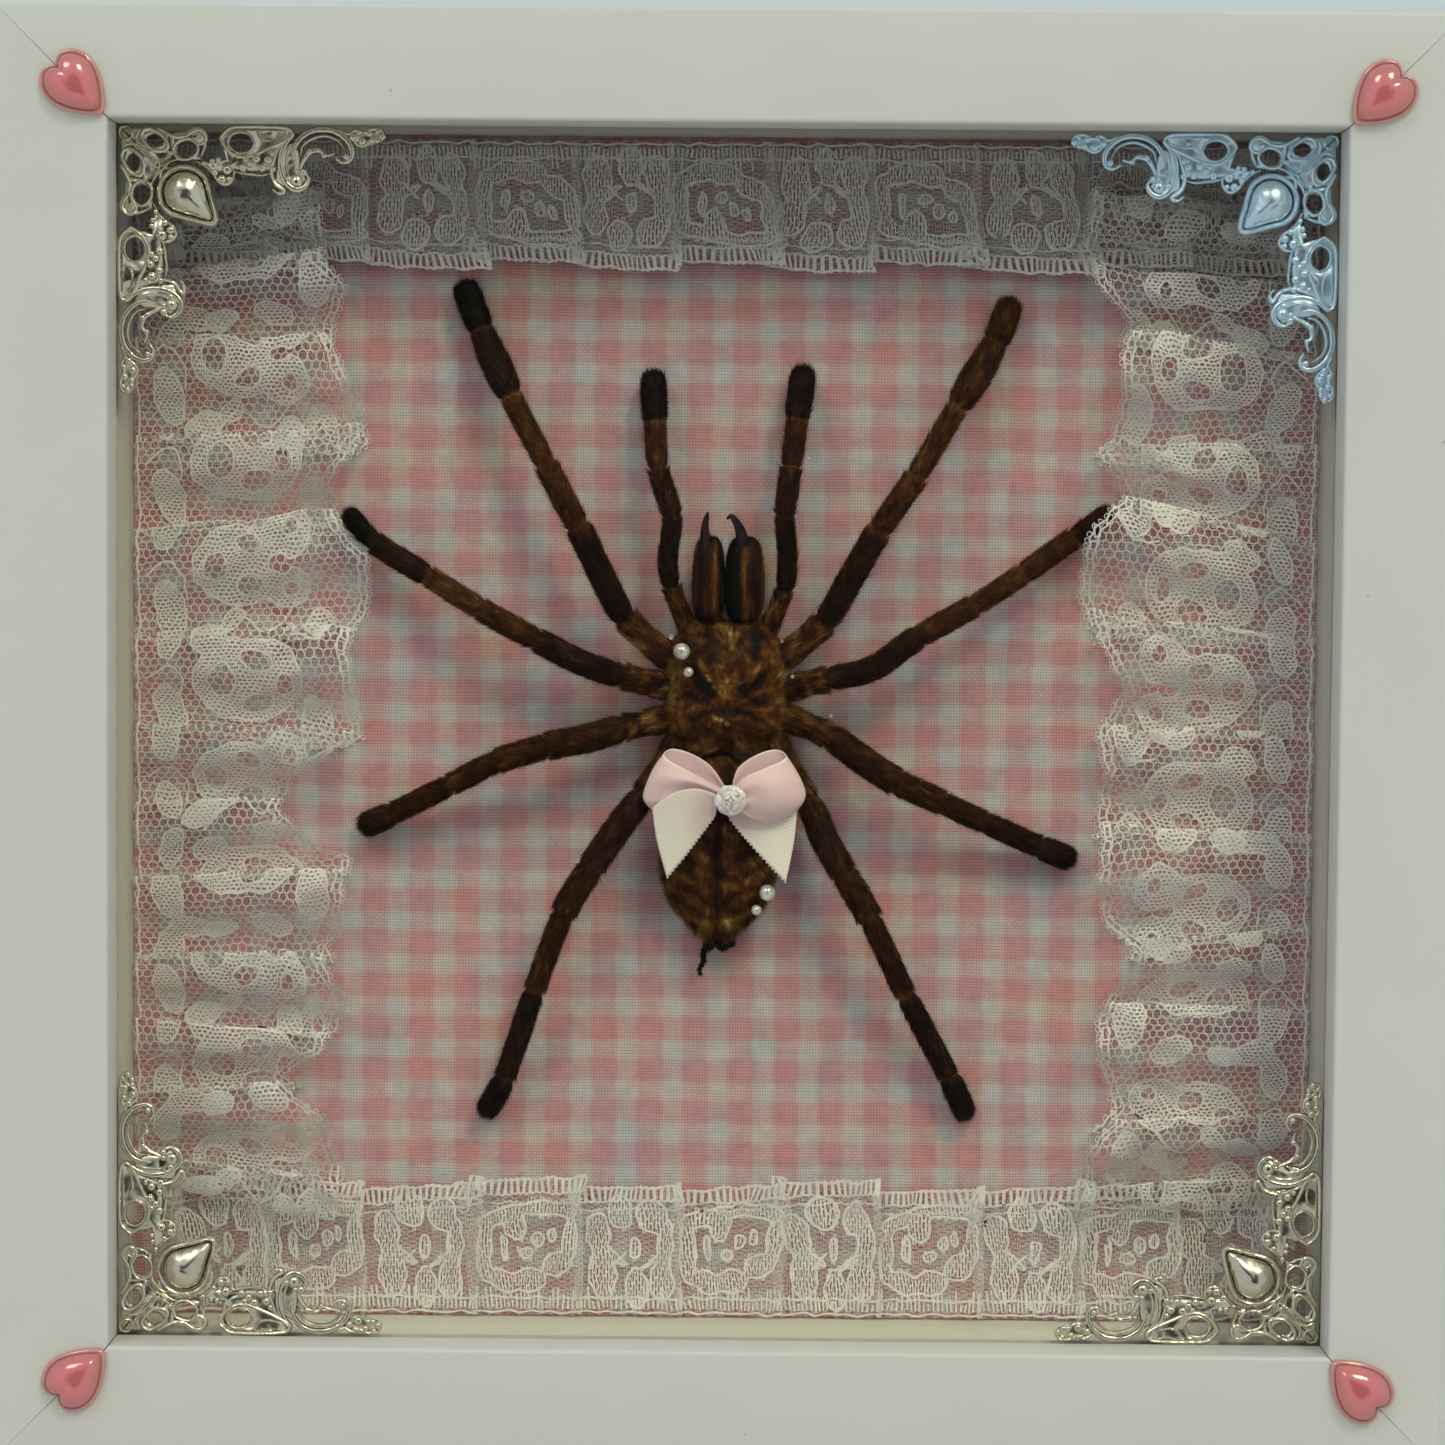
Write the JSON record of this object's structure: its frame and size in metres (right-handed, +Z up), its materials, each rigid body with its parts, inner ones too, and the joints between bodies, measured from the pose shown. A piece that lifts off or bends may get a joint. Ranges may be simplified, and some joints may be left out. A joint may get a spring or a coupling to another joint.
{
  "type": "framed tarantula specimen",
  "caption": "Dried tarantula with a satin bow and pearls on pink gingham, edged with lace, behind the glass of a white box frame with silver filigree corners and pink hearts.",
  "frame": {"origin": "under the middle of the object, on the surface the bottom rail stands on", "axes": "+X across the frame to the viewer's right, +Y from the front to the back, +Z up"},
  "size_m": [0.25, 0.049, 0.25],
  "materials": {
    "white_foil": "fibreboard wrapped in smooth white foil, slightly grained, satin",
    "tab_steel": "thin bendable zinc-plated steel",
    "glass": "clear picture glass",
    "gingham": "dusty pink and white woven gingham",
    "white_card": "white mount board, plain",
    "hardboard": "brown hardboard, smooth face",
    "spacer_card": "stiff card strip with a cream paper face",
    "pink_pearl": "pink cast resin with an iridescent pearl coat",
    "silver_plate": "silver-plated stamped metal, polished relief",
    "lace": "white knitted net lace with dense flowers",
    "tarantula_body": "dried cuticle under short golden brown hair",
    "tarantula_legs": "dried cuticle under short dark brown hair",
    "satin": "pale pink satin ribbon, paler ribbed back",
    "clear_pearl": "clear moulded plastic with a pearly coat",
    "pearl": "white pearl coated plastic"
  },
  "bodies": {
    "root": {"rail_bottom": "white_foil", "rail_left": "white_foil", "rail_top": "white_foil", "rail_right": "white_foil", "retaining_tab_bottom_a": "tab_steel", "retaining_tab_bottom_b": "tab_steel", "retaining_tab_left_a": "tab_steel", "retaining_tab_left_b": "tab_steel", "retaining_tab_top_a": "tab_steel", "retaining_tab_top_b": "tab_steel", "retaining_tab_right_a": "tab_steel", "retaining_tab_right_b": "tab_steel", "glass_pane": "glass", "gingham_cloth": "gingham", "mount_board": "white_card", "backing_board": "hardboard", "spacer_bottom": "spacer_card", "spacer_left": "spacer_card", "spacer_top": "spacer_card", "spacer_right": "spacer_card", "heart_bottom_left": "pink_pearl", "heart_top_left": "pink_pearl", "heart_top_right": "pink_pearl", "heart_bottom_right": "pink_pearl", "filigree_bottom_left": "silver_plate", "filigree_top_left": "silver_plate", "filigree_top_right": "silver_plate", "filigree_bottom_right": "silver_plate", "lace_bottom": "lace", "lace_left": "lace", "lace_top": "lace", "lace_right": "lace", "cephalothorax": "tarantula_body", "abdomen": "tarantula_body", "chelicera_left": "tarantula_body", "chelicera_right": "tarantula_body", "leg_1_left": "tarantula_legs", "leg_1_right": "tarantula_legs", "leg_2_left": "tarantula_legs", "leg_2_right": "tarantula_legs", "leg_3_left": "tarantula_legs", "leg_3_right": "tarantula_legs", "leg_4_left": "tarantula_legs", "leg_4_right": "tarantula_legs", "palp_left": "tarantula_legs", "palp_right": "tarantula_legs", "bow_loops": "satin", "bow_tails": "satin", "bow_rose": "clear_pearl", "pearl_carapace_large": "pearl", "pearl_carapace_small": "pearl", "pearl_abdomen_large": "pearl", "pearl_abdomen_small": "pearl"}
  },
  "joints": []
}
